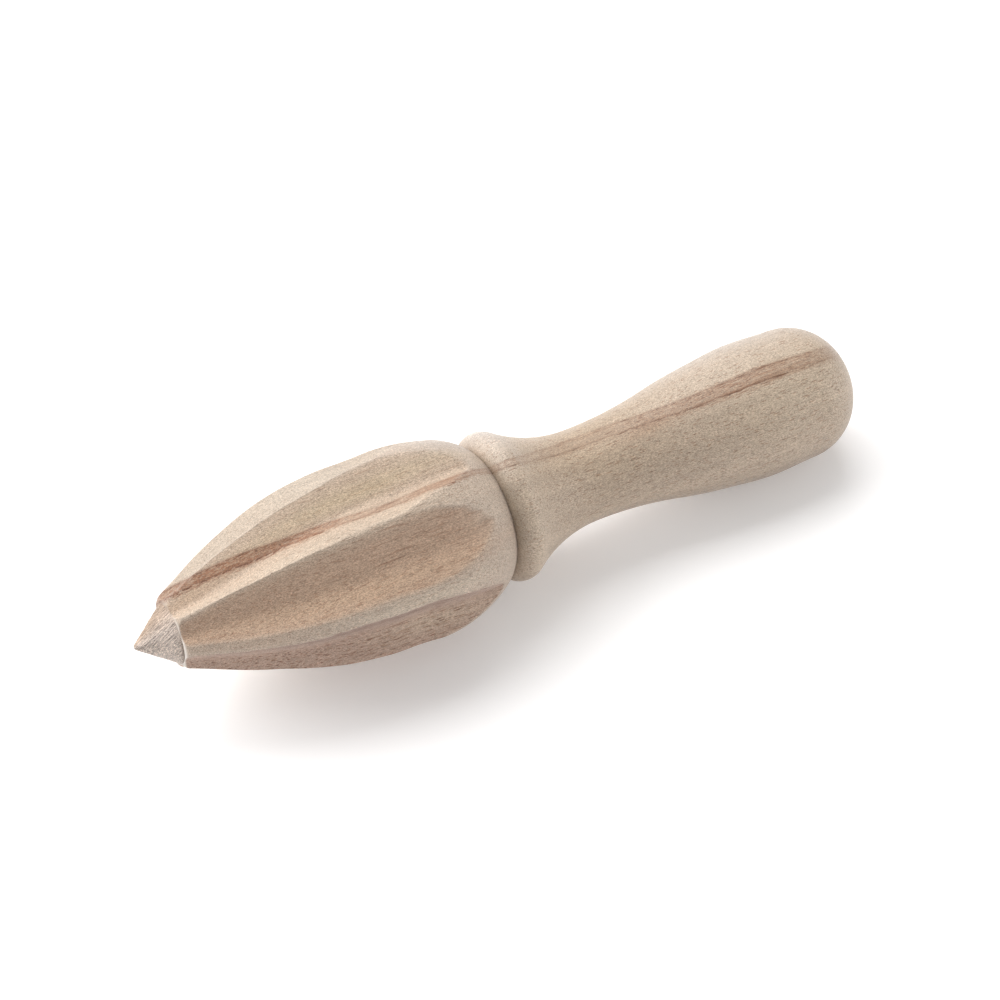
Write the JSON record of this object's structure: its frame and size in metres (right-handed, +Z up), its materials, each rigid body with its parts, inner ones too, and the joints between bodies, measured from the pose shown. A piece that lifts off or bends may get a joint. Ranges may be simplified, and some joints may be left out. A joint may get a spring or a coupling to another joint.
{
  "type": "lemon reamer",
  "caption": "Turned wooden hand reamer: a pointed, fluted head that is pressed and twisted into a cut lemon, a rounded collar that stops the fingers, and a swelling grip.",
  "frame": {"origin": "on the table, under the middle of the tool as it lies", "axes": "+X along the tool towards the end of the handle, +Z up from the table"},
  "size_m": [0.1598, 0.0387, 0.0379],
  "materials": {
    "beech_end_grain": "bare beech end grain, left rough from the lathe",
    "beech_fluted": "bare beech, turned lands with freshly cut flutes between them",
    "beech_turned": "bare beech, turned and sanded smooth"
  },
  "bodies": {
    "root": {"tip": "beech_end_grain", "reaming_head": "beech_fluted", "handle": "beech_turned"}
  },
  "joints": []
}
